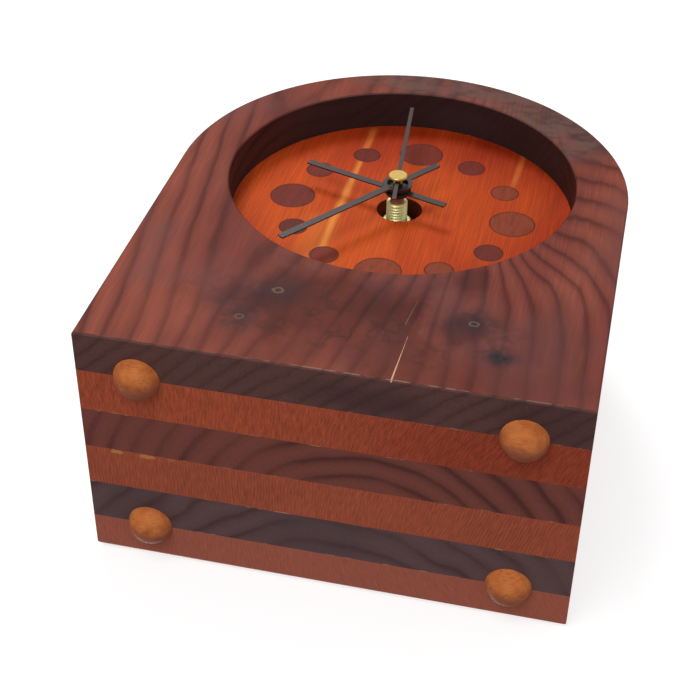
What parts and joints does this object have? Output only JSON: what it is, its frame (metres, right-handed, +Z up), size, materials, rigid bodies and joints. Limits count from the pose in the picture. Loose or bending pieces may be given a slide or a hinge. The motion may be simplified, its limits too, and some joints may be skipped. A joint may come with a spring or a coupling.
{
  "type": "desk clock",
  "caption": "Laminated wooden arch-top desk clock on button feet, with a sunk inlaid dial, baton hands and a battery quartz movement that drives them through its gear train.",
  "frame": {"origin": "middle of the footprint, on the surface that the four feet stand on", "axes": "+Z up, -Y out of the dial towards the reader, +X to the reader's right"},
  "size_m": [0.165, 0.094, 0.2045],
  "materials": {
    "dark_wood": "satin oil",
    "orange_wood": "satin oil",
    "light_wood": "satin oil",
    "inlay_wood": "satin oil, end grain",
    "foot_wood": "satin oil, turned",
    "brass": "bright, threaded",
    "cap_brass": "polished",
    "rubber": "matte",
    "hand_black": "satin black",
    "case_plastic": "fine moulded texture",
    "train_plastic": "natural nylon",
    "steel": "plain",
    "magnet": "sintered",
    "copper": "enamelled copper wire",
    "circuit": "solder mask",
    "epoxy": "sealed drop",
    "nickel": "nickel plate",
    "battery_sleeve": "printed film, bare",
    "knob_plastic": "moulded"
  },
  "bodies": {
    "case": {"front_board": "dark_wood", "dial_board": "orange_wood", "third_board": "dark_wood", "fourth_board": "light_wood", "fifth_board": "dark_wood", "back_board": "light_wood", "large_inlays": "inlay_wood", "small_inlays": "inlay_wood", "foot_front_left": "foot_wood", "foot_front_right": "foot_wood", "foot_back_left": "foot_wood", "foot_back_right": "foot_wood", "threaded_bushing": "brass", "hex_nut": "brass", "flat_washer": "brass", "gasket": "rubber", "movement_case": "case_plastic", "movement_cover": "case_plastic", "middle_plate": "train_plastic", "stator": "steel", "coil_core": "steel", "coil_bobbin": "train_plastic", "coil_winding": "copper", "circuit_board": "circuit", "chip": "epoxy", "crystal": "steel", "contact_positive": "nickel", "contact_negative": "nickel"},
    "second_group": {"second_hand": "hand_black", "second_hand_cap": "cap_brass", "seconds_wheel": "train_plastic", "seconds_arbor": "steel"},
    "minute_group": {"minute_hand": "hand_black", "minute_arbor": "train_plastic"},
    "hour_group": {"hour_hand": "hand_black", "hour_wheel": "train_plastic"},
    "motion_group": {"motion_wheel": "train_plastic", "set_knob": "knob_plastic"},
    "centre_group": {"centre_wheel": "train_plastic"},
    "third_group": {"third_wheel": "train_plastic"},
    "fifth_group": {"fifth_wheel": "train_plastic"},
    "rotor_group": {"rotor_pinion": "train_plastic", "rotor_magnet": "magnet"},
    "battery_group": {"battery": "battery_sleeve", "battery_button": "nickel"}
  },
  "joints": [
    {"name": "second_hand_spin", "type": "hinge", "parent": "case", "child": "second_group", "pos_m": [-0.0016, 0, 0.125], "axis": [0, 1, 0], "continuous": true},
    {"name": "fifth_wheel_spin", "type": "hinge", "parent": "case", "child": "fifth_group", "pos_m": [0.00785, 0, 0.12333], "axis": [0, 1, 0], "continuous": true},
    {"name": "rotor_spin", "type": "hinge", "parent": "case", "child": "rotor_group", "pos_m": [0.01359, 0, 0.12735], "axis": [0, 1, 0], "continuous": true},
    {"name": "third_wheel_spin", "type": "hinge", "parent": "case", "child": "third_group", "pos_m": [-0.0108, 0, 0.12746], "axis": [0, 1, 0], "continuous": true},
    {"name": "centre_wheel_spin", "type": "hinge", "parent": "case", "child": "centre_group", "pos_m": [-0.0016, 0, 0.125], "axis": [0, 1, 0], "continuous": true},
    {"name": "minute_hand_spin", "type": "hinge", "parent": "case", "child": "minute_group", "pos_m": [-0.0016, 0, 0.125], "axis": [0, 1, 0], "continuous": true},
    {"name": "set_knob_spin", "type": "hinge", "parent": "case", "child": "motion_group", "pos_m": [-0.00247, 0, 0.13496], "axis": [0, 1, 0], "continuous": true},
    {"name": "hour_hand_spin", "type": "hinge", "parent": "case", "child": "hour_group", "pos_m": [-0.0016, 0, 0.125], "axis": [0, 1, 0], "continuous": true},
    {"name": "battery_slide", "type": "slide", "parent": "case", "child": "battery_group", "axis": [0, 1, 0], "range_m": [0, 0.055]}
  ],
  "couplings": [
    {"joint": "fifth_wheel_spin", "follows": "second_hand_spin", "ratio": -5},
    {"joint": "rotor_spin", "follows": "second_hand_spin", "ratio": 30},
    {"joint": "third_wheel_spin", "follows": "second_hand_spin", "ratio": -0.125},
    {"joint": "centre_wheel_spin", "follows": "second_hand_spin", "ratio": 0.016667},
    {"joint": "set_knob_spin", "follows": "minute_hand_spin", "ratio": -0.33333},
    {"joint": "hour_hand_spin", "follows": "minute_hand_spin", "ratio": 0.083333}
  ]
}
